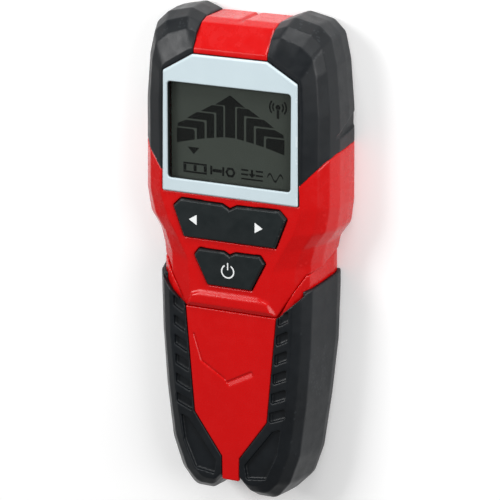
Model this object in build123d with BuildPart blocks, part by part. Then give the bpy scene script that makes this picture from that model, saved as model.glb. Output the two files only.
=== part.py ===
"""Hand-held stud finder, lying on its back.

Millimetres. X is the width, Y the length towards the sensing nose, Z the depth:
the flat back that slides over the wall is at Z = 0 and the display looks along +Z.
The origin is the middle of the back.
"""
from build123d import *
import math
import os

os.makedirs("parts", exist_ok=True)

# Driving dimensions
FRONT_Z = 24.6            # front plane of the display bezel
SKIRT_Z = 0.4             # lower edge of the shells and rubbers, just off the wall
HEAD_TOP_DROP = 0.8       # the head's front plane lies this far behind the bezel
RUBBER = 1.3              # thickness of the rubber bumpers and grips
HEAD_WALL = 2.8           # from the outside of the head to its cavity
FIT = 0.15                # gap between fixed pieces that drop into one another
RUNNING = 0.3             # gap around pieces that move

STRIP_HALF = 13.5         # red strip between the two bumpers
STRIP_END_Y = 82.3
BACK_PLATE = 1.8
BACK_INSET = 3.0          # the back plate sits this far inside the outline

PANEL_Z = FRONT_Z - 1.2
PANEL_THICK = 1.5

BEZEL_BOTTOM_Y = 23.2
WINDOW_HALF = 22.75
WINDOW_X = -0.3           # the window sits a little left of the middle
WINDOW_Y = (28.0, 61.3)
DISPLAY_SIZE = (46.6, 36.0)
LENS_TOP = FRONT_Z - 2.3
LENS_THICK = 1.0
LCD_THICK = 2.0
LCD_FRAME_THICK = 2.6
BOARD_THICK = 1.6

KEY_TOP = FRONT_Z + 0.2
KEY_PIVOT_Y = 14.4
KEY_PIVOT_Z = 20.9
KEY_PIN_R = 1.0
KEY_STEM_R = 1.6
KEY_EAR_Y = (6.4, 21.0)
ARROW_SWITCH_X = 12.0
POWER_SWITCH_Y = -1.9

BATTERY = (26.5, 48.5, 17.5)
BATTERY_Y = -43.2         # middle of the battery
BATTERY_Z = 2.5           # underside of the battery

DOOR_HALF = 16.0
DOOR_TOP_Y = -14.5
DOOR_PIVOT_Y = -72.0
DOOR_PIVOT_Z = 1.25
DOOR_PIN_R = 0.75
DOOR_THICK = 1.8
DOOR_LIFT = 0.15          # the door's outside lies this far inside the back plane

CASE_SCREW_SPOTS = [(25.5, 71.0), (26.5, 14.0), (14.0, -79.0)]
BOARD_SCREW_SPOTS = [(22.0, 65.6), (22.0, 23.6)]
SCREW_R = 1.25
SCREW_HEAD_R = 2.5
SCREW_HEAD_THICK = 1.0
SCREW_HEAD_SINK = 0.15    # the heads lie this far inside the back plane
PILOT_TOP = 14.0
THREAD_FIT = 0.03
CASE_BOSS_R = 3.1
BOARD_SCREW_R = 0.9
BOARD_SCREW_HEAD = 1.2
BOARD_POST_R = 2.2

BOARD_TOP = LENS_TOP - LENS_THICK - LCD_THICK - LCD_FRAME_THICK - 0.4
SWITCH_BODY = 2.1         # height of a switch, without its plunger
SWITCH_PLUNGER = 0.7
KEY_STEM_Z = BOARD_TOP + SWITCH_BODY + SWITCH_PLUNGER + 0.65
SENSOR_BOARD_Z = 4.2

# Outlines, right half only, from the nose down to the waist or the foot
HEAD_WIDE = [(13.5, 82.8), (19.0, 85.0), (28.0, 83.0), (32.2, 79.0), (34.2, 70.0), (35.6, 54.0),
             (36.0, 22.0), (35.0, 14.0), (31.2, 8.6), (30.0, 2.0), (30.0, -20.0)]
HEAD_FACE = [(13.5, 73.5), (15.2, 72.9), (20.3, 69.8), (25.2, 66.6), (25.9, 64.0), (26.3, 54.0),
             (26.0, 22.0), (23.0, 13.0), (19.4, 7.0), (15.6, -0.3), (14.5, -20.0)]
HEAD_CORNERS = [1.0, 2.5, 3.0, 3.0, 6.0, 20.0, 8.0, 4.0, 3.0, 5.0, 0.5]
# depth behind the bezel, and how far the section has drawn in from wide (0) to face (1)
HEAD_SLOPE = [(HEAD_TOP_DROP, 1.0), (3.4, 0.485), (6.7, 0.206), (11.1, 0.03), (18.0, 0.0)]

GRIP_FACE = [(23.4, 12.0), (23.0, -12.0), (22.6, -28.0), (20.9, -47.0), (18.6, -63.0),
             (13.5, -76.0), (10.0, -78.4), (5.6, -78.4), (3.6, -76.0)]
GRIP_CREASE = [(28.5, 12.0), (28.4, -8.0), (27.9, -28.0), (26.5, -48.0), (24.2, -67.0),
               (20.5, -77.5), (15.5, -83.6), (8.0, -83.6), (4.4, -79.5)]
GRIP_WIDE = [(31.0, 12.0), (31.4, -8.0), (30.9, -28.0), (28.8, -48.0), (26.0, -68.0),
             (22.5, -78.3), (16.0, -85.0), (8.0, -85.0), (4.6, -80.5)]
GRIP_CORNERS = [0.5, 20.0, 20.0, 20.0, 12.0, 6.0, 4.0, 3.0, 1.2]

# Lines seen from the side: distance behind the bezel, then Y
SHELL_EDGE = [(-2.0, -16.5), (5.6, -16.5), (6.3, -1.6), (20.0, 3.3), (27.0, 5.6)]
GRIP_TOP_EDGE = [(-2.0, -8.0), (2.8, -8.0), (6.0, -6.5), (20.0, -4.0), (27.0, -2.9)]
BUMPER_EDGE = [(-2.0, 29.0), (0.7, 30.3), (3.4, 36.0), (6.0, 38.6), (10.3, 40.6), (20.0, 41.6), (27.0, 42.0)]
# The shell's edge beside the collar, seen from the front, and how deep it reaches
NECK_LINE = [(17.0, -16.6), (25.9, -1.7)]
NECK_LOW_Z = 12.0
# where the grips' front band starts beside the collar, seen from the front
GRIP_TOP_CORNER = [(26.6, 5.0), (26.6, -8.1), (17.2, -16.95)]

# Collar: its foot on the lower panel's level, then its crest
COLLAR_FOOT = [(9.0, -9.4), (15.3, -11.7), (17.0, -16.55)]
COLLAR_CREST = [(12.6, -11.9), (13.7, -12.3), (15.0, -14.9)]
COLLAR_CREST_Z = FRONT_Z + 0.1
COLLAR_BASE_Z = 22.0

# Form line pressed into the lower panel: a thin crease, then a broad slanting facet
FORM_CREASE = [(-14.4, -26.4), (-11.3, -36.2), (-1.6, -42.0), (-1.9, -41.1), (-10.6, -35.8), (-13.6, -26.4)]
FORM_FACET_START = (-1.2, -43.2)
FORM_FACET_DIRECTION = (0.88, 0.475)
FORM_FACET_LENGTH = 11.0
FORM_FACET_WIDTH = 2.2
FORM_FACET_DEPTH = 0.65


def mirrored(half):
    return half + [(-x, y) for x, y in reversed(half)]


def inset(points, distance):
    """Move every side of a closed outline inwards; the outline runs clockwise."""
    moved = []
    for index, (x, y) in enumerate(points):
        before = points[index - 1]
        after = points[(index + 1) % len(points)]
        first = Vector(x - before[0], y - before[1]).normalized()
        second = Vector(after[0] - x, after[1] - y).normalized()
        first_normal = Vector(first.Y, -first.X)
        second_normal = Vector(second.Y, -second.X)
        scale = distance / (1 + first_normal.dot(second_normal))
        shift = (first_normal + second_normal) * scale
        moved.append((x + shift.X, y + shift.Y))
    return moved


def between(first, second, share):
    return [(a[0] + (b[0] - a[0]) * share, a[1] + (b[1] - a[1]) * share) for a, b in zip(first, second)]


def lofted(sections, corners):
    """A body through rounded outlines given as (z, outline)."""
    with BuildPart() as form:
        for z, outline in sections:
            with BuildSketch(Plane.XY.offset(z)):
                with BuildLine():
                    FilletPolyline(*outline, radius=corners + corners[::-1], close=True)
                make_face()
        loft(ruled=True)
    return form.part


def plainer(values):
    """A head outline without the bumpers' crest, used inside."""
    return [value for index, value in enumerate(values) if index not in (1, 3)]


def head_form(skin, is_cavity=False):
    """The head from the waist to the nose, drawn in by skin; a cavity is plainer and open at the back."""
    lists = (HEAD_WIDE, HEAD_FACE, HEAD_CORNERS)
    wide, face, corners = [plainer(values) for values in lists] if is_cavity else lists
    wide = mirrored(wide)
    face = mirrored(face)
    sections = []
    for depth, share in HEAD_SLOPE:
        z = FRONT_Z - depth - skin * max(share, 0.35)
        sections.append((z, inset(between(wide, face, share), skin)))
    if is_cavity:
        sections.append((-1.0, inset(wide, skin)))
    else:
        sections.append((SKIRT_Z + 1.4, inset(wide, skin + 0.1)))
        sections.append((SKIRT_Z, inset(wide, skin + 0.8)))
    return lofted(sections, corners)


def handle_form(skin, front_drop):
    """The handle from the waist to the two lobes at the foot, drawn in by skin."""
    face = mirrored(GRIP_FACE)
    crease = mirrored(GRIP_CREASE)
    wide = mirrored(GRIP_WIDE)
    sections = [
        (FRONT_Z - 1.0 - front_drop, inset(face, skin * 0.5)),
        (FRONT_Z - 2.6 - front_drop * 0.8, inset(between(face, crease, 0.54), skin)),
        (FRONT_Z - 6.0 - front_drop * 0.4, inset(crease, skin)),
        (FRONT_Z - 13.0, inset(between(crease, wide, 0.55), skin)),
        (FRONT_Z - 20.0, inset(wide, skin)),
        (SKIRT_Z + 1.2, inset(wide, skin + 0.15)),
        (SKIRT_Z, inset(wide, skin + 0.8)),
    ]
    return lofted(sections, GRIP_CORNERS)


def side_region(edge, far_y, half_width=60.0):
    """Everything on one side of a line seen from the side."""
    line = [(y, FRONT_Z - depth) for depth, y in edge]
    with BuildPart() as region:
        with BuildSketch(Plane.YZ):
            with BuildLine():
                Polyline(*line, (far_y, line[-1][1]), (far_y, line[0][1]), close=True)
            make_face()
        extrude(amount=half_width, both=True)
    return region.part


def plan_prism(outline, low, high, corner=0.0):
    """An upright prism on a plan outline."""
    with BuildPart() as prism:
        with BuildSketch(Plane.XY.offset(low)):
            with BuildLine():
                if corner:
                    FilletPolyline(*outline, radius=corner, close=True)
                else:
                    Polyline(*outline, close=True)
            make_face()
        extrude(amount=high - low)
    return prism.part


def shell_space(gap):
    """The space above the front shell's lower edge, grown by gap, and beside the neck line."""
    space = side_region([(depth, y - gap) for depth, y in SHELL_EDGE], 100.0)
    (low_x, low_y), (high_x, high_y) = NECK_LINE
    for side in (1, -1):
        beside = [(side * (low_x + gap), low_y), (side * (high_x + gap), high_y), (side * 45.0, high_y),
                  (side * 45.0, -30.0), (side * (low_x + gap), -30.0)]
        space = space - plan_prism(beside, NECK_LOW_Z, 40.0)
    return space


def block(x_range, y_range, z_range):
    """A plain box by its limits."""
    with BuildPart() as body:
        with BuildSketch(Plane.XY.offset(z_range[0])):
            with Locations((sum(x_range) / 2, sum(y_range) / 2)):
                Rectangle(x_range[1] - x_range[0], y_range[1] - y_range[0])
        extrude(amount=z_range[1] - z_range[0])
    return body.part


def posts(spots, radius, low, high):
    """Upright cylinders at several plan positions."""
    with BuildPart() as body:
        with BuildSketch(Plane.XY.offset(low)):
            with Locations(*spots):
                Circle(radius)
        extrude(amount=high - low)
    return body.part


def cross_slots(spots, length, width, low, high):
    """Cross recesses of screw heads."""
    with BuildPart() as body:
        with BuildSketch(Plane.XY.offset(low)):
            with Locations(*spots):
                Rectangle(length, width)
                Rectangle(width, length)
        extrude(amount=high - low)
    return body.part


def save(builder, name):
    builder.part.label = name
    export_step(builder.part, f"parts/{name}.step")


# Shared forms
head_outer = head_form(0.0)
head_core = head_form(RUBBER)
head_cavity = head_form(HEAD_WALL, is_cavity=True)
handle_outer = handle_form(0.0, 0.0)
handle_core = handle_form(RUBBER, PANEL_THICK + 0.3)
above_shell_edge = shell_space(0.0)
shell_room = shell_space(FIT)
below_shell_edge = side_region([(depth, y - FIT) for depth, y in SHELL_EDGE], -100.0)
below_grip_edge = side_region(GRIP_TOP_EDGE, -100.0)
bumper_side = side_region(BUMPER_EDGE, 100.0)

BEZEL_OUTLINE = mirrored([(13.7, 71.3), (24.7, 64.8), (25.1, BEZEL_BOTTOM_Y)])
PANEL_OUTLINE = mirrored([(17.0, -16.8), (13.7, -54.8), (3.3, -69.65), (3.2, -78.1)])
HANDLE_CAVITY = mirrored([(26.0, -1.0), (26.0, -20.0), (23.2, -55.0), (21.0, -70.0), (15.5, -74.4)])
NECK_CAVITY = mirrored([(23.0, 6.0), (21.0, -8.0), (15.5, -15.0)])

ARROW_HALF = [(2.65, 20.8), (18.15, 21.1), (20.9, 18.35), (16.9, 7.9)]
POWER_HALF = [(2.1, 4.3), (11.3, 4.4), (13.1, 2.0), (8.06, -8.0)]
ARROW_NOTCH_Y = 19.3
POWER_NOTCH_Y = 3.15


def key_outline(half, notch_y, grow=0.0):
    """A key seen from the front, with the shallow V notch in its upper edge."""
    outline = mirrored([(0.0, notch_y)] + half)[:-1]
    return inset(outline, -grow)


def screw_hole_spots(spots):
    return [(x * side, y) for x, y in spots for side in (1, -1)]


# Collar: a low ridge with a ledge under the power button and a slope down to the lower panel
with BuildPart() as collar:
    with BuildSketch(Plane.XY.offset(PANEL_Z)):
        Polygon(*mirrored(COLLAR_FOOT), align=None)
    with BuildSketch(Plane.XY.offset(COLLAR_CREST_Z)):
        Polygon(*mirrored(COLLAR_CREST), align=None)
    loft(ruled=True)
    add(plan_prism(mirrored(COLLAR_FOOT), COLLAR_BASE_Z, PANEL_Z))

# Front shell: head, shoulders and collar in one moulding
with BuildPart() as front_shell:
    add(head_outer)
    add(above_shell_edge, mode=Mode.INTERSECT)
    # the rubber bumpers lie in a rebate on both sides of the middle strip
    for side in (1, -1):
        rebate_limits = sorted((side * STRIP_HALF, side * 60.0))
        rebate = block(rebate_limits, (20.0, 100.0), (-5.0, 40.0))
        rebate = rebate & bumper_side
        rebate = rebate - head_core
        add(rebate, mode=Mode.SUBTRACT)
    # the strip's end face is flat and lower than the bumpers
    with BuildSketch(Plane.YZ) as strip_end:
        with BuildLine():
            Polyline((74.0, FRONT_Z + 5), (73.3, FRONT_Z - HEAD_TOP_DROP), (STRIP_END_Y, FRONT_Z - 8.1),
                     (STRIP_END_Y, -5.0), (100.0, -5.0), (100.0, FRONT_Z + 5), close=True)
        make_face()
    extrude(to_extrude=strip_end.sketch, amount=STRIP_HALF + 0.3, both=True, mode=Mode.SUBTRACT)
    add(collar.part)
    add(head_cavity, mode=Mode.SUBTRACT)
    # centre mark down the strip's end face
    add(block((-0.8, 0.8), (STRIP_END_Y - 0.9, STRIP_END_Y + 1.0), (-1.0, 20.0)), mode=Mode.SUBTRACT)
    # opening for the bezel, and its seat
    with BuildSketch(Plane.XY.offset(18.0)):
        with Locations((0.0, sum(WINDOW_Y) / 2)):
            Rectangle(DISPLAY_SIZE[0] + 1.0, DISPLAY_SIZE[1] + 1.3)
    extrude(amount=10.0, mode=Mode.SUBTRACT)
    add(plan_prism(inset(BEZEL_OUTLINE, -FIT), FRONT_Z - 2.0, FRONT_Z + 2.0), mode=Mode.SUBTRACT)
    # openings for the two keys
    for half, notch_y in ((ARROW_HALF, ARROW_NOTCH_Y), (POWER_HALF, POWER_NOTCH_Y)):
        add(plan_prism(key_outline(half, notch_y, RUNNING), 15.0, FRONT_Z + 2.0), mode=Mode.SUBTRACT)

head_floor = FRONT_Z - HEAD_TOP_DROP - HEAD_WALL
case_screws_all = screw_hole_spots(CASE_SCREW_SPOTS)
head_screws = screw_hole_spots(CASE_SCREW_SPOTS[:2])
foot_screws = screw_hole_spots(CASE_SCREW_SPOTS[2:])
board_screws_all = screw_hole_spots(BOARD_SCREW_SPOTS)
with BuildPart() as screw_bosses:
    add(posts(head_screws, CASE_BOSS_R, BACK_PLATE + 0.1, BACK_PLATE + 0.1 + FRONT_Z))
    add(head_core, mode=Mode.INTERSECT)

with BuildPart() as front_shell_fitted:
    add(front_shell.part)
    add(screw_bosses.part)
    # posts for the main board
    add(posts(board_screws_all, BOARD_POST_R, BOARD_TOP + 0.05, head_floor + 0.45))
    # pivot ears of the arrow key
    for ear_y in KEY_EAR_Y:
        add(block((-2.2, 2.2), (ear_y - 0.8, ear_y + 0.8), (KEY_PIVOT_Z - 1.9, head_floor + 0.3)))
    with BuildSketch(Plane.XZ.offset(-KEY_EAR_Y[0] + 1.2)):
        with Locations((0.0, KEY_PIVOT_Z)):
            Circle(KEY_PIN_R + 0.05)
    extrude(amount=-(KEY_EAR_Y[1] - KEY_EAR_Y[0] + 2.4), mode=Mode.SUBTRACT)
    # pilot holes
    add(posts(head_screws, SCREW_R + THREAD_FIT, 0.0, PILOT_TOP), mode=Mode.SUBTRACT)
    add(posts(board_screws_all, BOARD_SCREW_R + THREAD_FIT, 10.0, 20.0), mode=Mode.SUBTRACT)
save(front_shell_fitted, "front_shell")

# Rubber bumpers on the two corners of the head
GROOVE_X = 34.75
GROOVE_OUTLINE = [(52.4, -1.0), (51.2, 4.6), (44.6, 18.6), (46.6, 4.6), (47.6, -1.0)]
for side, name in ((1, "bumper_right"), (-1, "bumper_left")):
    with BuildPart() as bumper:
        add(head_outer)
        add(bumper_side, mode=Mode.INTERSECT)
        limits = sorted((side * (STRIP_HALF + 0.05), side * 60.0))
        add(block(limits, (20.0, 100.0), (-5.0, 40.0)), mode=Mode.INTERSECT)
        add(head_core, mode=Mode.SUBTRACT)
        add(plan_prism(inset(BEZEL_OUTLINE, -FIT), 15.0, FRONT_Z + 2.0), mode=Mode.SUBTRACT)
        # the slanted groove across the side, deepest at the back
        with BuildSketch(Plane.YZ.offset(side * GROOVE_X)) as groove_sketch:
            with BuildLine():
                Polyline(*GROOVE_OUTLINE, close=True)
            make_face()
        extrude(to_extrude=groove_sketch.sketch, amount=side * 6.0, mode=Mode.SUBTRACT)
    save(bumper, name)

# Lower panel: the red inlay on the handle's front
with BuildPart() as lower_panel:
    with BuildSketch(Plane.XY.offset(PANEL_Z - PANEL_THICK)):
        with BuildLine():
            Polyline(*PANEL_OUTLINE, close=True)
        make_face()
    extrude(amount=PANEL_THICK)
    chamfer(lower_panel.faces().sort_by(Axis.Z)[-1].edges(), length=0.3)
    add(below_shell_edge, mode=Mode.INTERSECT)
    # the pressed form line
    add(plan_prism(FORM_CREASE, PANEL_Z - 0.45, PANEL_Z + 1.0), mode=Mode.SUBTRACT)
    facet_plane = Plane(origin=(*FORM_FACET_START, PANEL_Z), z_dir=(*FORM_FACET_DIRECTION, 0.0),
                        x_dir=(-FORM_FACET_DIRECTION[1], FORM_FACET_DIRECTION[0], 0.0))
    half_width = FORM_FACET_WIDTH / 2
    with BuildSketch(facet_plane):
        Polygon((-half_width, 0.0), (half_width, -FORM_FACET_DEPTH), (half_width, 1.0), (-half_width, 1.0),
                align=None)
    extrude(amount=FORM_FACET_LENGTH, mode=Mode.SUBTRACT)
save(lower_panel, "lower_panel")

# Handle shell: the red moulding under the grips and the panel
with BuildPart() as handle_shell:
    add(handle_core)
    add(shell_room, mode=Mode.SUBTRACT)
    # narrower towards the front, where the outside slopes in
    add(plan_prism(HANDLE_CAVITY, -1.0, 15.5, 2.0), mode=Mode.SUBTRACT)
    add(plan_prism(inset(HANDLE_CAVITY, 4.0), -1.0, FRONT_Z - 4.4, 1.0), mode=Mode.SUBTRACT)
    add(plan_prism(NECK_CAVITY, -1.0, 21.0), mode=Mode.SUBTRACT)
    # room for the back plate and the foot screws
    add(plan_prism(mirrored([(27.5, 20.0), (27.5, -20.0), (24.5, -60.0), (20.0, -77.0), (17.5, -82.0),
                             (7.0, -82.0), (5.5, -77.5)]), -1.0, BACK_PLATE + 0.05), mode=Mode.SUBTRACT)
    add(block((-19.2, 19.2), (DOOR_PIVOT_Y - 2.6, DOOR_PIVOT_Y + 2.6), (-1.0, 3.8)), mode=Mode.SUBTRACT)
    add(posts(foot_screws, SCREW_R + THREAD_FIT, 0.0, PILOT_TOP), mode=Mode.SUBTRACT)
save(handle_shell, "handle_shell")

# Grips with their rib channels
RIB_COUNT = 6
RIB_PITCH = 7.0
RIB_FIRST_Y = -16.6
RIB_GAP = 3.7
for side, name in ((1, "grip_right"), (-1, "grip_left")):
    with BuildPart() as grip:
        add(handle_outer)
        add(below_grip_edge, mode=Mode.INTERSECT)
        limits = sorted((side * 3.4, side * 60.0))
        add(block(limits, (-100.0, 30.0), (-5.0, 40.0)), mode=Mode.INTERSECT)
        add(handle_core, mode=Mode.SUBTRACT)
        add(plan_prism(inset(PANEL_OUTLINE, -FIT), 10.0, 40.0), mode=Mode.SUBTRACT)
        add(shell_room, mode=Mode.SUBTRACT)
        add(plan_prism(mirrored(GRIP_TOP_CORNER), 20.0, 40.0), mode=Mode.SUBTRACT)
        # slots between the ribs, their outer ends higher
        for number in range(RIB_COUNT):
            middle = RIB_FIRST_Y - number * RIB_PITCH
            inner = 17.75 - 0.0866 * (number * RIB_PITCH)
            outer = 21.6 - 0.03 * (number * RIB_PITCH)
            slot = [(side * inner, middle - 1.3 - RIB_GAP / 2), (side * outer, middle + 1.1 - RIB_GAP / 2),
                    (side * outer, middle + 1.1 + RIB_GAP / 2), (side * inner, middle - 1.3 + RIB_GAP / 2)]
            with BuildSketch(Plane.XY.offset(FRONT_Z - 2.4)):
                Polygon(*slot, align=None)
            extrude(amount=5.0, mode=Mode.SUBTRACT)
        # the long triangular hollow below the ribs
        with BuildSketch(Plane.XY.offset(FRONT_Z - 2.4)):
            Polygon(*[(side * x, y) for x, y in ((15.9, -57.6), (18.9, -56.4), (17.6, -66.0),
                                                 (13.4, -75.6), (6.2, -76.6), (5.4, -71.6))], align=None)
        extrude(amount=5.0, mode=Mode.SUBTRACT)
    save(grip, name)

# Back plate with the battery bay
back_wide = inset(mirrored(plainer(HEAD_WIDE)[:-1]), BACK_INSET)
back_corners = plainer(HEAD_CORNERS)[:7]
with BuildPart() as rear_shell:
    with BuildSketch():
        with BuildLine():
            FilletPolyline(*back_wide[:len(back_wide) // 2 - 1], (26.6, 5.0), (26.6, -20.0), (23.6, -60.0),
                           (19.4, -76.5), (17.0, -81.4), (7.6, -81.4), (5.2, -76.8),
                           (-5.2, -76.8), (-7.6, -81.4), (-17.0, -81.4), (-19.4, -76.5), (-23.6, -60.0),
                           (-26.6, -20.0), (-26.6, 5.0), *back_wide[len(back_wide) // 2 + 1:],
                           radius=back_corners + [0.8] * 14 + back_corners[::-1], close=True)
        make_face()
    extrude(amount=BACK_PLATE)
    chamfer(rear_shell.faces().sort_by(Axis.Z)[0].edges(), length=0.3)
    # walls of the battery bay
    for side in (1, -1):
        add(block(sorted((side * 16.4, side * 17.6)), (-69.0, -18.5), (BACK_PLATE, 12.0)))
    add(block((-17.0, 17.0), (-69.2, -68.2), (BACK_PLATE, 12.0)))
    # standoffs of the sensor board
    add(posts(screw_hole_spots([(24.0, 27.0), (24.0, 62.0)]), 2.0, BACK_PLATE - 0.1, SENSOR_BOARD_Z - 0.02))
    # opening for the door, with room for its barrel
    add(block((-DOOR_HALF - RUNNING, DOOR_HALF + RUNNING), (DOOR_PIVOT_Y - 1.25, DOOR_TOP_Y + RUNNING),
              (-1.0, BACK_PLATE + 0.4)), mode=Mode.SUBTRACT)
    # closing stop of the door
    add(block((-8.0, 8.0), (DOOR_TOP_Y - 1.0, DOOR_TOP_Y + 4.0), (BACK_PLATE + 0.5, BACK_PLATE + 1.3)))
    add(block((-8.0, 8.0), (DOOR_TOP_Y + 1.5, DOOR_TOP_Y + 4.0), (BACK_PLATE - 0.3, BACK_PLATE + 1.0)))
    # bearing blocks of the door's barrel
    for side in (1, -1):
        add(block(sorted((side * (DOOR_HALF + RUNNING), side * 18.6)),
                  (DOOR_PIVOT_Y - 2.2, DOOR_PIVOT_Y + 2.2), (BACK_PLATE - 0.2, 3.4)))
    with BuildSketch(Plane.YZ.offset(-18.0)):
        with Locations((DOOR_PIVOT_Y, DOOR_PIVOT_Z)):
            Circle(DOOR_PIN_R + 0.06)
    extrude(amount=36.0, mode=Mode.SUBTRACT)
    # screw seats
    add(posts(case_screws_all, SCREW_R + 0.2, 0.0, 5.0), mode=Mode.SUBTRACT)
    seat_depth = SCREW_HEAD_SINK + SCREW_HEAD_THICK
    add(posts(case_screws_all, SCREW_HEAD_R + FIT, 0.0, seat_depth), mode=Mode.SUBTRACT)
save(rear_shell, "rear_shell")

# Battery door, turning on a barrel at the foot end
with BuildPart() as battery_door:
    add(block((-DOOR_HALF, DOOR_HALF), (DOOR_PIVOT_Y, DOOR_TOP_Y), (DOOR_LIFT, DOOR_LIFT + DOOR_THICK)))
    with BuildSketch(Plane.YZ.offset(-DOOR_HALF)):
        with Locations((DOOR_PIVOT_Y, DOOR_PIVOT_Z)):
            Circle(DOOR_PIVOT_Z - DOOR_LIFT)
    extrude(amount=2 * DOOR_HALF)
    with BuildSketch(Plane.YZ.offset(-DOOR_HALF - 1.4)):
        with Locations((DOOR_PIVOT_Y, DOOR_PIVOT_Z)):
            Circle(DOOR_PIN_R)
    extrude(amount=2 * DOOR_HALF + 2.8)
    # finger grooves in the outside
    for number in range(4):
        y = DOOR_TOP_Y - 5.0 - number * 2.0
        add(block((-7.0, 7.0), (y - 0.5, y + 0.5), (DOOR_LIFT - 1.0, DOOR_LIFT + 0.5)), mode=Mode.SUBTRACT)
save(battery_door, "battery_door")

# Bezel with its bevelled rim and the well down to the lens
with BuildPart() as bezel:
    with BuildSketch(Plane.XY.offset(FRONT_Z - 1.95)):
        with BuildLine():
            FilletPolyline(*BEZEL_OUTLINE, radius=0.6, close=True)
        make_face()
    extrude(amount=1.95)
    chamfer(bezel.faces().sort_by(Axis.Z)[-1].edges(), length=0.55)
    with BuildSketch(Plane.XY.offset(LENS_TOP + 0.05)):
        with Locations((0.0, sum(WINDOW_Y) / 2)):
            RectangleRounded(46.8, 35.6, 1.5)
    extrude(amount=0.5)
    with BuildSketch(Plane.XY.offset(FRONT_Z - 5.0)):
        with Locations((WINDOW_X, sum(WINDOW_Y) / 2)):
            RectangleRounded(2 * WINDOW_HALF, WINDOW_Y[1] - WINDOW_Y[0], 1.2)
    extrude(amount=10.0, mode=Mode.SUBTRACT)
    window_rim = bezel.faces().sort_by(Axis.Z)[-1].inner_wires().edges()
    chamfer(window_rim, length=0.25)
save(bezel, "bezel")

display_y = sum(WINDOW_Y) / 2


def display_layer(name, top, thickness, width, height):
    with BuildPart() as layer:
        with BuildSketch(Plane.XY.offset(top - thickness)):
            with Locations((0.0, display_y)):
                RectangleRounded(width, height, 0.8)
        extrude(amount=thickness)
    save(layer, name)


lcd_top = LENS_TOP - LENS_THICK - 0.1
frame_top = lcd_top - LCD_THICK - 0.1
display_layer("display_lens", LENS_TOP, LENS_THICK, *DISPLAY_SIZE)
display_layer("lcd_panel", lcd_top, LCD_THICK, 45.8, 35.2)
display_layer("backlight_guide", frame_top, LCD_FRAME_THICK, 45.8, 29.6)

# Conductive rubber strips between the glass and the board
with BuildPart() as zebra_strips:
    for side in (1, -1):
        y = display_y + side * 16.3
        add(block((-19.0, 19.0), (y - 1.2, y + 1.2), (BOARD_TOP + 0.02, frame_top + 0.08)))
save(zebra_strips, "zebra_strips")

# Keys
with BuildPart() as arrow_rocker:
    add(plan_prism(key_outline(ARROW_HALF, ARROW_NOTCH_Y), head_floor + 0.9, KEY_TOP))
    chamfer(arrow_rocker.faces().sort_by(Axis.Z)[-1].edges(), length=0.5)
    arrow_stems = [(ARROW_SWITCH_X, KEY_PIVOT_Y), (-ARROW_SWITCH_X, KEY_PIVOT_Y)]
    add(posts(arrow_stems, KEY_STEM_R, KEY_STEM_Z, head_floor + 1.2))
    # pivot web and pin
    add(block((-1.4, 1.4), (KEY_PIVOT_Y - 4.2, KEY_PIVOT_Y + 4.2), (KEY_PIVOT_Z - 0.6, head_floor + 1.2)))
    with BuildSketch(Plane.XZ.offset(-KEY_EAR_Y[0] + 0.7)):
        with Locations((0.0, KEY_PIVOT_Z)):
            Circle(KEY_PIN_R)
    extrude(amount=-(KEY_EAR_Y[1] - KEY_EAR_Y[0] + 1.4))
save(arrow_rocker, "arrow_rocker")

with BuildPart() as power_button:
    add(plan_prism(key_outline(POWER_HALF, POWER_NOTCH_Y), head_floor + 0.9, KEY_TOP))
    chamfer(power_button.faces().sort_by(Axis.Z)[-1].edges(), length=0.5)
    add(posts([(0.0, POWER_SWITCH_Y)], KEY_STEM_R, KEY_STEM_Z, head_floor + 1.2))
    # flange that keeps the button in the case
    add(plan_prism(mirrored([(13.4, 3.6), (14.4, 1.6), (9.6, -8.6)]), head_floor - 1.2, head_floor - 0.35))
    add(plan_prism(mirrored([(11.0, 3.0), (12.4, 1.8), (7.6, -7.4)]), head_floor - 0.8, head_floor + 1.2))
save(power_button, "power_button")

# Electronics
switch_spots = arrow_stems + [(0.0, POWER_SWITCH_Y)]
with BuildPart() as tact_switches:
    with BuildSketch(Plane.XY.offset(BOARD_TOP)):
        with Locations(*switch_spots):
            Rectangle(6.0, 6.0)
    extrude(amount=SWITCH_BODY)
    add(posts(switch_spots, 1.7, BOARD_TOP + SWITCH_BODY, BOARD_TOP + SWITCH_BODY + SWITCH_PLUNGER))
save(tact_switches, "tact_switches")

with BuildPart() as main_board:
    with BuildSketch(Plane.XY.offset(BOARD_TOP - BOARD_THICK)):
        with BuildLine():
            Polyline(*mirrored([(25.5, 67.6), (25.5, 20.0), (20.0, 9.0), (18.0, -8.5)]), close=True)
        make_face()
        with Locations(*screw_hole_spots(BOARD_SCREW_SPOTS)):
            Circle(BOARD_SCREW_R + 0.1, mode=Mode.SUBTRACT)
    extrude(amount=BOARD_THICK)
save(main_board, "main_board")

board_under = BOARD_TOP - BOARD_THICK
with BuildPart() as controller_chip:
    add(block((-5.0, 5.0), (34.0, 44.0), (board_under - 1.6, board_under)))
save(controller_chip, "controller_chip")

with BuildPart() as buzzer:
    with BuildSketch(Plane.XY.offset(board_under - 5.0)):
        with Locations((-10.0, 13.0)):
            Circle(6.0)
    extrude(amount=5.0)
    with BuildSketch(Plane.XY.offset(board_under - 5.0)):
        with Locations((-10.0, 13.0)):
            Circle(1.0)
    extrude(amount=1.5, mode=Mode.SUBTRACT)
save(buzzer, "buzzer")

with BuildPart() as sensor_board:
    with BuildSketch(Plane.XY.offset(SENSOR_BOARD_Z)):
        with Locations((0.0, 44.5)):
            RectangleRounded(52.0, 43.0, 2.0)
    extrude(amount=1.0)
save(sensor_board, "sensor_board")

with BuildPart() as sensor_plates:
    for x, width in ((-17.0, 13.0), (0.0, 17.0), (17.0, 13.0)):
        add(block((x - width / 2, x + width / 2), (31.0, 58.0), (SENSOR_BOARD_Z - 0.3, SENSOR_BOARD_Z)))
save(sensor_plates, "sensor_plates")

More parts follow.
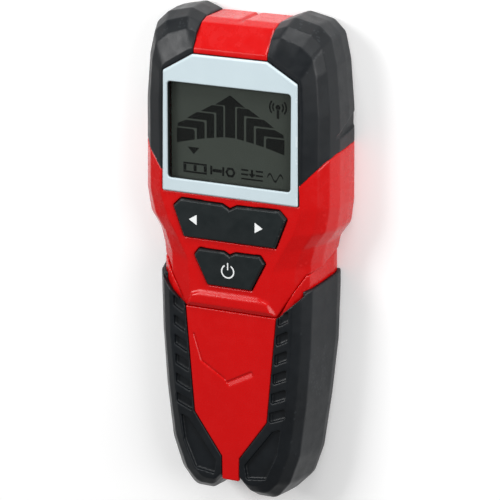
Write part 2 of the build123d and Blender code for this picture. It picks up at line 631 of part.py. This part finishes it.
COIL_Y = 52.0
with BuildPart() as coil_former:
    with BuildSketch(Plane.XY.offset(SENSOR_BOARD_Z + 1.0)):
        with Locations((0.0, COIL_Y)):
            Circle(12.5)
            Circle(8.0, mode=Mode.SUBTRACT)
    extrude(amount=5.0)
    with BuildSketch(Plane.XY.offset(SENSOR_BOARD_Z + 2.0)):
        with Locations((0.0, COIL_Y)):
            Circle(13.0)
            Circle(9.2, mode=Mode.SUBTRACT)
    extrude(amount=3.0, mode=Mode.SUBTRACT)
save(coil_former, "coil_former")

with BuildPart() as sensing_coil:
    with BuildSketch(Plane.XY.offset(SENSOR_BOARD_Z + 2.05)):
        with Locations((0.0, COIL_Y)):
            Circle(12.0)
            Circle(9.25, mode=Mode.SUBTRACT)
    extrude(amount=2.9)
save(sensing_coil, "sensing_coil")

with BuildPart() as board_connector:
    add(block((-7.0, 7.0), (28.0, 30.5), (SENSOR_BOARD_Z + 1.0, board_under)))
save(board_connector, "board_connector")

# Power
TERMINAL = 2.6
TERMINAL_X = 6.35
battery_low_y = BATTERY_Y - BATTERY[1] / 2
battery_body_top_y = BATTERY_Y + BATTERY[1] / 2 - TERMINAL
body_z = BATTERY_Z + BATTERY[2] / 2
with BuildPart() as battery:
    with BuildSketch(Plane.XZ.offset(-battery_low_y)):
        with Locations((0.0, body_z)):
            RectangleRounded(BATTERY[0], BATTERY[2], 2.0)
    extrude(amount=-(BATTERY[1] - TERMINAL))
    for x in (-TERMINAL_X, TERMINAL_X):
        with BuildSketch(Plane.XZ.offset(-battery_body_top_y)):
            with Locations((x, body_z)):
                Circle(2.9)
        extrude(amount=-TERMINAL)
save(battery, "battery")

with BuildPart() as battery_snap:
    snap_y = (battery_body_top_y + 3.0, battery_body_top_y + 5.6)
    add(block((-12.0, 12.0), snap_y, (body_z - 5.5, body_z + 5.5)))
    for x in (-TERMINAL_X, TERMINAL_X):
        with BuildSketch(Plane.XZ.offset(-battery_body_top_y - 0.1)):
            with Locations((x, body_z)):
                Circle(3.7)
                Circle(2.97, mode=Mode.SUBTRACT)
        extrude(amount=-3.0)
save(battery_snap, "battery_snap")

LEAD_R = 0.65
for name, side in (("battery_lead_red", 1), ("battery_lead_black", -1)):
    start = Vector(side * 9.0, snap_y[1], body_z)
    route = [start, start + Vector(0, 5.5, 0.0), Vector(side * 12.4, -3.6, 8.2),
             Vector(side * 14.2, 0.4, 9.4), Vector(side * 14.2, 0.4, board_under)]
    route = [(p.X, p.Y, p.Z) for p in route]
    radii = []
    for index in range(1, len(route) - 1):
        run_in = Vector(*route[index]) - Vector(*route[index - 1])
        run_out = Vector(*route[index + 1]) - Vector(*route[index])
        turn = math.radians(run_in.get_angle(run_out))
        radii.append(0.45 * min(run_in.length, run_out.length) / math.tan(turn / 2))
    with BuildPart() as lead:
        with BuildLine() as path:
            FilletPolyline(*route, radius=radii)
        with BuildSketch(Plane(origin=start, z_dir=(0, 1, 0))):
            Circle(LEAD_R)
        sweep()
    length = sum(edge.length for edge in path.edges())
    section_volume = math.pi * LEAD_R ** 2 * length
    print(name, "length", round(length, 2), "radii", [round(radius, 2) for radius in radii],
          "volume ratio", round(lead.part.volume / section_volume, 4))
    save(lead, name)

# Fasteners
head_low = SCREW_HEAD_SINK
with BuildPart() as case_screws:
    add(posts(case_screws_all, SCREW_HEAD_R, head_low, head_low + SCREW_HEAD_THICK))
    add(posts(case_screws_all, SCREW_R, head_low + 0.95, 10.1))
    add(cross_slots(case_screws_all, 2.6, 0.6, head_low, head_low + 0.7), mode=Mode.SUBTRACT)
save(case_screws, "case_screws")

head_low = board_under - BOARD_SCREW_HEAD
with BuildPart() as board_screws:
    add(posts(board_screws_all, 2 * BOARD_SCREW_R, head_low, board_under))
    add(posts(board_screws_all, BOARD_SCREW_R, board_under - 0.05, board_under + 4.95))
    add(cross_slots(board_screws_all, 2.0, 0.5, head_low, head_low + 0.6), mode=Mode.SUBTRACT)
save(board_screws, "board_screws")
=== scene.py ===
"""Looks of the stud finder: materials, softened edges, display graphics, key symbols, light and camera."""

import math

import bpy
from mathutils import Matrix, Vector


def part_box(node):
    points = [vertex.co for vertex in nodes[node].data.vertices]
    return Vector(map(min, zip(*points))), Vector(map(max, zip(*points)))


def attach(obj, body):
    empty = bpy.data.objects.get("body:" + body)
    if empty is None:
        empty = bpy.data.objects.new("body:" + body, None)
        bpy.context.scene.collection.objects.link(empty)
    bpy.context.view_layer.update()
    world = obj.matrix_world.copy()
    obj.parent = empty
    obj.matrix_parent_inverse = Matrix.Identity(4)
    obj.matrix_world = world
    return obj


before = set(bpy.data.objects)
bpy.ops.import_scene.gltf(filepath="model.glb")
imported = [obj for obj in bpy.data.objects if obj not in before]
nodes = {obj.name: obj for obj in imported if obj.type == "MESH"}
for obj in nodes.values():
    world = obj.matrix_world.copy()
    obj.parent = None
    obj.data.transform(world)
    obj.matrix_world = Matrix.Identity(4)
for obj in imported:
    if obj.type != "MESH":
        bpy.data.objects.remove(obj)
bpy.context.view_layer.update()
MM = 0.001

# ---------------------------------------------------------------- node helpers
def new_material(name):
    material = bpy.data.materials.new(name)
    material.use_nodes = True
    tree = material.node_tree
    shader = tree.nodes["Principled BSDF"]
    return material, tree, shader


def add_node(tree, kind, **settings):
    node = tree.nodes.new(kind)
    for key, value in settings.items():
        if key in node.inputs:
            node.inputs[key].default_value = value
        else:
            setattr(node, key, value)
    return node


def object_place(tree):
    """The object's own coordinates, which for a CAD node are the frame's."""
    return add_node(tree, "ShaderNodeTexCoord").outputs["Object"]


def object_axis(tree, axis):
    split = add_node(tree, "ShaderNodeSeparateXYZ")
    tree.links.new(object_place(tree), split.inputs["Vector"])
    return split.outputs[axis]


def object_noise(tree, scale, detail=3.0, stretch=None):
    """Noise in the object's own coordinates; scale is in features per metre."""
    place = object_place(tree)
    noise = add_node(tree, "ShaderNodeTexNoise", Scale=scale, Detail=detail, Roughness=0.55)
    if stretch:
        mapping = add_node(tree, "ShaderNodeMapping")
        mapping.inputs["Scale"].default_value = stretch
        tree.links.new(place, mapping.inputs["Vector"])
        place = mapping.outputs["Vector"]
    tree.links.new(place, noise.inputs["Vector"])
    return noise.outputs["Fac"]


def remap(tree, value, low, high, from_low=0.3, from_high=0.7):
    node = add_node(tree, "ShaderNodeMapRange")
    node.inputs["From Min"].default_value = from_low
    node.inputs["From Max"].default_value = from_high
    node.inputs["To Min"].default_value = low
    node.inputs["To Max"].default_value = high
    tree.links.new(value, node.inputs["Value"])
    return node.outputs["Result"]


def mix_colour(tree, factor, first, second):
    """first where the factor is 0 and second where it is 1; each is a colour or a socket."""
    node = add_node(tree, "ShaderNodeMix", data_type="RGBA")
    sockets = [socket for socket in node.inputs if socket.enabled]
    for socket, value in zip(sockets[1:], (first, second)):
        if isinstance(value, tuple):
            socket.default_value = (*value, 1.0)
        else:
            tree.links.new(value, socket)
    tree.links.new(factor, sockets[0])
    return [socket for socket in node.outputs if socket.enabled][0]


def bump(tree, shader, layers):
    """layers is a list of (height value, distance in metres, strength)."""
    normal = None
    for height, distance, strength in layers:
        node = add_node(tree, "ShaderNodeBump", Distance=distance, Strength=strength)
        tree.links.new(height, node.inputs["Height"])
        if normal is not None:
            tree.links.new(normal, node.inputs["Normal"])
        normal = node.outputs["Normal"]
    tree.links.new(normal, shader.inputs["Normal"])


def edge_value(tree):
    """1 on convex edges, 0 elsewhere."""
    geometry = add_node(tree, "ShaderNodeNewGeometry")
    return remap(tree, geometry.outputs["Pointiness"], 0.0, 1.0, 0.52, 0.60)


def moulded(name, colour, roughness, grain=0.3, edge_rub_and_highlight=None, edge_rub_and_highlight_share=0.35, specular=0.5, mottling=0.12,
            grain_scale=2600.0, painted_shade_below=None):
    """Moulded plastic or rubber: mottled colour, spark-eroded grain and lighter convex edges.

    worn is the colour of the lighter convex edges, partly rubbed and partly a painted edge highlight, and
    wear its share.
    Below painted_shade_below, in metres, it is PAINTED_WELL_SHADE: painted shade on the walls of the bezel's
    well.
    """
    material, tree, shader = new_material(name)
    darker = tuple(channel * (1.0 - mottling) for channel in colour)
    lighter = tuple(min(1.0, channel * (1.0 + mottling)) for channel in colour)
    cloud = remap(tree, object_noise(tree, 60.0, 4.0), 0.0, 1.0)
    base = mix_colour(tree, cloud, darker, lighter)
    # Convex edges lighter: partly rubbed, partly a painted edge highlight.
    if edge_rub_and_highlight:
        edge = add_node(tree, "ShaderNodeMath", operation="MULTIPLY")
        tree.links.new(edge_value(tree), edge.inputs[0])
        edge.inputs[1].default_value = edge_rub_and_highlight_share
        base = mix_colour(tree, edge.outputs[0], base, edge_rub_and_highlight)
    # Painted shade: below the given height the colour turns near-black, standing for the shade on the walls
    # of the bezel's well.
    if painted_shade_below is not None:
        above = remap(tree, object_axis(tree, "Z"), 0.0, 1.0, painted_shade_below, painted_shade_below + 0.25 * MM)
        base = mix_colour(tree, above, PAINTED_WELL_SHADE, base)
    tree.links.new(base, shader.inputs["Base Color"])
    fine = object_noise(tree, grain_scale, 2.0)
    broad = object_noise(tree, 240.0, 3.0)
    tree.links.new(remap(tree, broad, roughness - 0.06, roughness + 0.07), shader.inputs["Roughness"])
    bump(tree, shader, [(fine, 0.06 * MM, grain), (broad, 0.1 * MM, 0.12)])
    shader.inputs["Specular IOR Level"].default_value = specular
    return material


def metal(name, colour, roughness):
    """Metal with fine streaks along X."""
    material, tree, shader = new_material(name)
    streak = object_noise(tree, 3.0, 4.0, stretch=(40.0, 900.0, 900.0))
    darker = tuple(channel * 0.8 for channel in colour)
    tree.links.new(mix_colour(tree, streak, darker, colour), shader.inputs["Base Color"])
    tree.links.new(remap(tree, streak, roughness - 0.08, roughness + 0.1), shader.inputs["Roughness"])
    bump(tree, shader, [(streak, 0.04 * MM, 0.3)])
    shader.inputs["Metallic"].default_value = 1.0
    return material


def circuit_board(name):
    """Green solder mask over copper tracks."""
    material, tree, shader = new_material(name)
    tracks = add_node(tree, "ShaderNodeTexBrick", Scale=160.0)
    tracks.inputs["Mortar Size"].default_value = 0.04
    tracks.inputs["Color1"].default_value = (0, 0, 0, 1)
    tracks.inputs["Color2"].default_value = (0.25, 0.25, 0.25, 1)
    tracks.inputs["Mortar"].default_value = (1, 1, 1, 1)
    tree.links.new(object_place(tree), tracks.inputs["Vector"])
    colour = mix_colour(tree, tracks.outputs["Color"], (0.008, 0.09, 0.03), (0.02, 0.22, 0.08))
    tree.links.new(colour, shader.inputs["Base Color"])
    weave = object_noise(tree, 1800.0, 2.0)
    tree.links.new(remap(tree, weave, 0.25, 0.4), shader.inputs["Roughness"])
    bump(tree, shader, [(tracks.outputs["Color"], 0.03 * MM, 0.5), (weave, 0.03 * MM, 0.2)])
    return material


def clear_window(name):
    """A thin clear sheet: mostly see-through, with a dark base so that it adds no haze of its own."""
    material, tree, shader = new_material(name)
    haze = object_noise(tree, 90.0, 3.0)
    tint = mix_colour(tree, haze, (0.03, 0.035, 0.033), (0.05, 0.055, 0.05))
    tree.links.new(tint, shader.inputs["Base Color"])
    tree.links.new(remap(tree, haze, 0.06, 0.12), shader.inputs["Roughness"])
    shader.inputs["Alpha"].default_value = 0.10
    shader.inputs["Specular IOR Level"].default_value = 0.5
    return material


def battery_print(name):
    """Printed steel can: dark body with a copper-coloured band at the terminal end."""
    material, tree, shader = new_material(name)
    low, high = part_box("battery")
    band_start = high.y - 0.3 * (high.y - low.y)
    band = remap(tree, object_axis(tree, "Y"), 0.0, 1.0, band_start, band_start + 0.4 * MM)
    print_colour = mix_colour(tree, band, (0.02, 0.024, 0.03), (0.50, 0.22, 0.07))
    tree.links.new(print_colour, shader.inputs["Base Color"])
    scuff = object_noise(tree, 320.0, 4.0)
    tree.links.new(remap(tree, scuff, 0.25, 0.42), shader.inputs["Roughness"])
    bump(tree, shader, [(scuff, 0.04 * MM, 0.2)])
    shader.inputs["Metallic"].default_value = 0.4
    return material


# ---------------------------------------------------------------- materials
RED = (0.56, 0.0008, 0.001)
RUBBER = (0.0042, 0.0060, 0.0080)
# Near-black painted shade for the walls of the bezel's well.
PAINTED_WELL_SHADE = (0.012, 0.014, 0.015)
BEZEL_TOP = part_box("bezel")[1].z

materials = {
    "red": moulded("red_abs", RED, 0.26, grain=0.10, edge_rub_and_highlight=(0.80, 0.03, 0.03), edge_rub_and_highlight_share=0.25, mottling=0.03,
                   specular=0.34),
    "rubber": moulded("soft_rubber", RUBBER, 0.40, grain=0.3, edge_rub_and_highlight=(0.03, 0.035, 0.04), edge_rub_and_highlight_share=0.4,
                      mottling=0.2, grain_scale=3400.0, specular=0.34),
    # The bezel's walls below its top carry painted shade.
    "bezel": moulded("bezel_grey", (0.54, 0.64, 0.68), 0.34, grain=0.08, edge_rub_and_highlight=(0.85, 0.9, 0.92), edge_rub_and_highlight_share=0.3,
                     mottling=0.02, painted_shade_below=BEZEL_TOP - 0.75 * MM),
    "key": moulded("key_rubber", (0.006, 0.010, 0.011), 0.40, grain=0.2, edge_rub_and_highlight=(0.05, 0.06, 0.06),
                   edge_rub_and_highlight_share=0.6, mottling=0.15, specular=0.35),
    "back": moulded("back_black", (0.014, 0.015, 0.017), 0.48, grain=0.7, edge_rub_and_highlight=(0.06, 0.06, 0.06),
                    edge_rub_and_highlight_share=0.4, mottling=0.15, grain_scale=1500.0),
    "dark": moulded("component_black", (0.012, 0.012, 0.013), 0.5, grain=0.4, mottling=0.2),
    "guide": moulded("milky_guide", (0.75, 0.77, 0.74), 0.4, grain=0.15, mottling=0.05),
    "lcd": moulded("lcd_ground", (0.050, 0.060, 0.050), 0.45, grain=0.0, mottling=0.05, specular=0.15),
    "segment": moulded("lcd_segment", (0.0012, 0.0014, 0.0014), 0.6, grain=0.0, mottling=0.1,
                       specular=0.05),
    "symbol": moulded("symbol_white", (0.82, 0.84, 0.84), 0.45, grain=0.1, mottling=0.04),
    "elastomer": moulded("elastomer", (0.35, 0.32, 0.28), 0.6, grain=0.4),
    "lead_red": moulded("lead_red", (0.42, 0.01, 0.01), 0.4, grain=0.1),
    "lead_black": moulded("lead_black", (0.012, 0.012, 0.012), 0.4, grain=0.1),
    "board": circuit_board("solder_mask"),
    "copper": metal("copper", (0.75, 0.36, 0.18), 0.3),
    "steel": metal("plated_steel", (0.55, 0.56, 0.58), 0.32),
    "window": clear_window("clear_window"),
    "battery": battery_print("battery_print"),
}

NODE_MATERIALS = {
    "red": ["front_shell", "handle_shell", "lower_panel"],
    "rubber": ["bumper_left", "bumper_right", "grip_left", "grip_right"],
    "bezel": ["bezel"],
    "key": ["arrow_rocker", "power_button"],
    "back": ["rear_shell", "battery_door"],
    "dark": ["tact_switches", "board_connector", "controller_chip", "buzzer", "battery_snap"],
    "guide": ["backlight_guide", "coil_former"],
    "lcd": ["lcd_panel"],
    "elastomer": ["zebra_strips"],
    "lead_red": ["battery_lead_red"],
    "lead_black": ["battery_lead_black"],
    "board": ["main_board", "sensor_board"],
    "copper": ["sensor_plates", "sensing_coil"],
    "steel": ["case_screws", "board_screws"],
    "window": ["display_lens"],
    "battery": ["battery"],
}
for key, members in NODE_MATERIALS.items():
    for member in members:
        nodes[member].data.materials.clear()
        nodes[member].data.materials.append(materials[key])


# ---------------------------------------------------------------- softened CAD shells
def soften(name, voxel_mm, passes):
    """Rounds every edge of a shell by a fine remesh and a little smoothing, as a mould does."""
    thing = nodes[name]
    thing.data.polygons.foreach_set("use_smooth", [True] * len(thing.data.polygons))
    weld = thing.modifiers.new("weld", "WELD")
    weld.merge_threshold = 0.002 * MM
    remesh = thing.modifiers.new("remesh", "REMESH")
    remesh.mode = "VOXEL"
    remesh.voxel_size = voxel_mm * MM
    remesh.use_smooth_shade = True
    relax = thing.modifiers.new("relax", "SMOOTH")
    relax.factor = 0.5
    relax.iterations = passes


for name in ("bumper_left", "bumper_right", "grip_left", "grip_right"):
    soften(name, 0.28, 6)
for name in ("front_shell", "handle_shell"):
    soften(name, 0.36, 5)
soften("lower_panel", 0.25, 3)
for name in ("arrow_rocker", "power_button", "bezel"):
    soften(name, 0.2, 3)


# ---------------------------------------------------------------- flat graphics
PRINT_THICKNESS = 0.04
KEY_PRINT_SINK = 0.02


def plate(name, shapes, z_mm, material, body):
    """Thin printed plates; shapes is a list of outlines in millimetres, and one inside another is a hole."""
    curve = bpy.data.curves.new(name, "CURVE")
    curve.dimensions = "2D"
    curve.fill_mode = "BOTH"
    curve.extrude = PRINT_THICKNESS * MM / 2
    for outline in shapes:
        spline = curve.splines.new("POLY")
        spline.points.add(len(outline) - 1)
        for point, (x, y) in zip(spline.points, outline):
            point.co = (x * MM, y * MM, 0.0, 1.0)
        spline.use_cyclic_u = True
    flat = bpy.data.objects.new(name + "_curve", curve)
    bpy.context.scene.collection.objects.link(flat)
    flat.location.z = (z_mm + PRINT_THICKNESS / 2) * MM
    bpy.context.view_layer.update()
    graph = bpy.context.evaluated_depsgraph_get()
    mesh = bpy.data.meshes.new_from_object(flat.evaluated_get(graph))
    mesh.transform(flat.matrix_world)
    bpy.data.objects.remove(flat)
    mesh.materials.clear()
    mesh.materials.append(material)
    thing = bpy.data.objects.new(name, mesh)
    bpy.context.scene.collection.objects.link(thing)
    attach(thing, body)


def arc(centre, radius, start, end, steps=16):
    """Points on a circle from one angle to another, in degrees."""
    angles = [math.radians(start + (end - start) * step / steps) for step in range(steps + 1)]
    return [(centre[0] + radius * math.cos(a), centre[1] + radius * math.sin(a)) for a in angles]


def band(centre, outer, inner, start, end):
    """The outline of a part of a ring, between two radii and two angles."""
    return arc(centre, outer, start, end) + arc(centre, inner, end, start)


def box_outline(x0, y0, x1, y1):
    return [(x0, y0), (x1, y0), (x1, y1), (x0, y1)]


DISPLAY_CENTRE = -1.1


def fan_foot(x):
    """Height of the bowed line on which the arrow, bars and blocks stand."""
    return 43.6 - 0.12 * abs(x) - x * x / 250.0


def display_outlines():
    """An upright arrow between bent bars, a pointer below and a signal mast at the top right."""
    shapes = []
    stem = 1.85
    arrow = [(-stem, fan_foot(stem)), (stem, fan_foot(stem)), (stem, 54.2), (5.5, 54.2), (0.0, 57.9),
             (-5.5, 54.2), (-stem, 54.2)]
    shapes.append([(x + DISPLAY_CENTRE, y) for x, y in arrow])
    # three bent bars and a block on each side: inner edge, outer edge, top, peak, tip, tip height
    bars = [(2.5, 5.1, 53.9, 6.7, 10.9, 51.4), (5.9, 8.7, 50.9, 12.3, 15.9, 48.6),
            (9.5, 12.4, 47.8, 16.4, 19.6, 46.4)]
    for inner, outer, top, peak, tip, tip_height in bars:
        under = top - 2.5
        bar = [(inner, fan_foot(inner)), (inner, top - 0.4), (inner + 0.4, top), (peak, top)]
        bar += [(tip, tip_height), (tip, under), (outer, under), (outer, fan_foot(outer))]
        for side in (1, -1):
            shapes.append([(side * x + DISPLAY_CENTRE, y) for x, y in bar])
    block = [(13.2, fan_foot(13.2)), (13.2, 44.2), (13.8, 44.8), (19.9, 44.8), (19.9, fan_foot(19.9))]
    for side in (1, -1):
        shapes.append([(side * x + DISPLAY_CENTRE, y) for x, y in block])
    # small pointer under the left bars
    shapes.append([(-16.9, 38.6), (-12.5, 38.6), (-14.7, 36.2)])
    # signal mast
    mast = (16.4, 55.6)
    shapes += [arc(mast, 0.9, 0.0, 340.0, 17), box_outline(15.95, 51.8, 16.85, 54.9)]
    for radius in (1.9, 3.0):
        for start in (-42.0, 138.0):
            shapes.append(band(mast, radius + 0.28, radius - 0.28, start, start + 84.0))
    return shapes


def pictogram_outlines():
    """Wall frame, metal pipe and nut, depth and alternating current: plain signs in place of words."""
    y0, y1 = 29.6, 33.2
    middle = (y0 + y1) / 2
    shapes = []
    # wall frame: rails and posts
    shapes += [box_outline(-18.6, y0, -9.8, y0 + 0.6), box_outline(-18.6, y1 - 0.6, -9.8, y1)]
    for x in (-18.6, -14.75, -10.9):
        shapes.append(box_outline(x, y0 + 0.75, x + 1.1, y1 - 0.75))
    # pipe with two flanges, and a hexagon nut with its hole
    nut = (-1.0, middle)
    shapes += [arc(nut, 1.9, 0.0, 300.0, 5), arc(nut, 0.95, 0.0, 345.0, 23)]
    shapes += [box_outline(-7.6, middle - 0.55, -4.2, middle + 0.55),
               box_outline(-8.5, y0 + 0.3, -7.75, y1 - 0.3), box_outline(-4.05, y0 + 0.3, -3.3, y1 - 0.3)]
    # depth: two layers and an arrow through them
    for x0, x1 in ((3.0, 5.6), (8.4, 11.0)):
        shapes += [box_outline(x0, y1 - 0.6, x1, y1), box_outline(x0, middle - 0.3, x1, middle + 0.3)]
    shapes.append(box_outline(3.0, y0, 11.0, y0 + 0.5))
    shapes.append([(6.6, y1), (7.4, y1), (7.4, y0 + 2.2), (8.3, y0 + 2.2), (7.0, y0 + 0.8),
                   (5.7, y0 + 2.2), (6.6, y0 + 2.2)])
    # one and a half waves
    wave_start, wave_length, steps = 12.6, 5.8, 36
    wave_x = [wave_start + wave_length * step / steps for step in range(steps + 1)]
    crest = [(x, middle + 1.25 * math.sin((x - wave_start) / wave_length * 3 * math.pi)) for x in wave_x]
    shapes.append([(x, y + 0.36) for x, y in crest] + [(x, y - 0.36) for x, y in reversed(crest)])
    return shapes


lcd_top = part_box("lcd_panel")[1].z / MM
plate("lcd_segments", display_outlines(), lcd_top, materials["segment"], "housing")
plate("lcd_pictograms", pictogram_outlines(), lcd_top, materials["segment"], "housing")

arrow_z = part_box("arrow_rocker")[1].z / MM - KEY_PRINT_SINK
for tip, heel, name in ((12.6, 9.7, "arrow_sign_right"), (-14.8, -11.9, "arrow_sign_left")):
    triangle = [(tip, 14.4), (heel, 16.2), (heel, 12.6)]
    plate(name, [triangle], arrow_z, materials["symbol"], "arrow_rocker")

power_centre = (-0.3, -2.2)
power_shapes = [band(power_centre, 2.5, 2.02, 120.0, 420.0), box_outline(-0.52, -1.7, -0.08, 0.8)]
power_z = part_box("power_button")[1].z / MM - KEY_PRINT_SINK
plate("power_sign", power_shapes, power_z, materials["symbol"], "power_button")


# ---------------------------------------------------------------- stage, light, camera
def area_light(name, place, target, size, energy):
    light = bpy.data.lights.new(name, "AREA")
    light.shape = "RECTANGLE"
    light.size, light.size_y = size
    light.energy = energy
    thing = bpy.data.objects.new(name, light)
    thing.location = place
    direction = Vector(target) - Vector(place)
    thing.rotation_mode = "QUATERNION"
    thing.rotation_quaternion = direction.to_track_quat("-Z", "Y")
    bpy.context.scene.collection.objects.link(thing)


FLOOR_HALF = 3.0
floor_mesh = bpy.data.meshes.new("floor")
floor_corners = [(x, y, 0) for x, y in box_outline(-FLOOR_HALF, -FLOOR_HALF, FLOOR_HALF, FLOOR_HALF)]
floor_mesh.from_pydata(floor_corners, [], [(0, 1, 2, 3)])
floor = bpy.data.objects.new("floor", floor_mesh)
bpy.context.scene.collection.objects.link(floor)
floor_material, floor_tree, floor_shader = new_material("floor_white")
floor_colour = mix_colour(floor_tree, object_noise(floor_tree, 8.0), (0.90, 0.90, 0.90), (0.93, 0.93, 0.93))
floor_tree.links.new(floor_colour, floor_shader.inputs["Base Color"])
floor_shader.inputs["Roughness"].default_value = 0.8
floor_shader.inputs["Emission Color"].default_value = (1.0, 1.0, 1.0, 1.0)
floor_shader.inputs["Emission Strength"].default_value = 0.14
floor_mesh.materials.append(floor_material)

world = bpy.data.worlds.new("studio")
bpy.context.scene.world = world
world.use_nodes = True
background = world.node_tree.nodes["Background"]
background.inputs["Color"].default_value = (1.0, 1.0, 1.0, 1.0)
background.inputs["Strength"].default_value = 0.24

# Soft boxes stay out of the direction that the flat front mirrors towards the camera.
# Places and sizes are in metres and power in watts.
area_light("head_left", (-0.46, 0.24, 0.54), (0.0, 0.0, 0.0), (0.32, 0.32), 3.2)
area_light("head_end", (0.10, 0.78, 0.36), (0.0, 0.03, 0.0), (0.6, 0.3), 3.8)
area_light("side_right", (0.66, 0.18, 0.44), (0.0, 0.0, 0.0), (0.4, 0.5), 3.6)

# The camera looks along the photograph's direction at a point on the bezel's plane
BACK_DIRECTION = Vector((0.41658, 0.28959, 0.86174)).normalized()
RIGHT_DIRECTION = Vector((0.90032, 0.0, -0.43523)).normalized()
UP_DIRECTION = BACK_DIRECTION.cross(RIGHT_DIRECTION).normalized()
DISTANCE = 0.9072
LENS = 194.4
AIM_RIGHT = math.radians(0.452)
target = Vector((0.0, 5.38 * MM, BEZEL_TOP))
camera_data = bpy.data.cameras.new("camera")
camera_data.lens = LENS
camera_data.sensor_width = 36.0
camera_data.clip_start = 0.05
camera = bpy.data.objects.new("camera", camera_data)
axes = Matrix((RIGHT_DIRECTION, UP_DIRECTION, BACK_DIRECTION)).transposed().to_4x4()
stand = Matrix.Translation(target + BACK_DIRECTION * DISTANCE)
camera.matrix_world = stand @ axes @ Matrix.Rotation(-AIM_RIGHT, 4, "Y")
bpy.context.scene.collection.objects.link(camera)
bpy.context.scene.camera = camera
bpy.context.scene.view_settings.view_transform = "Standard"
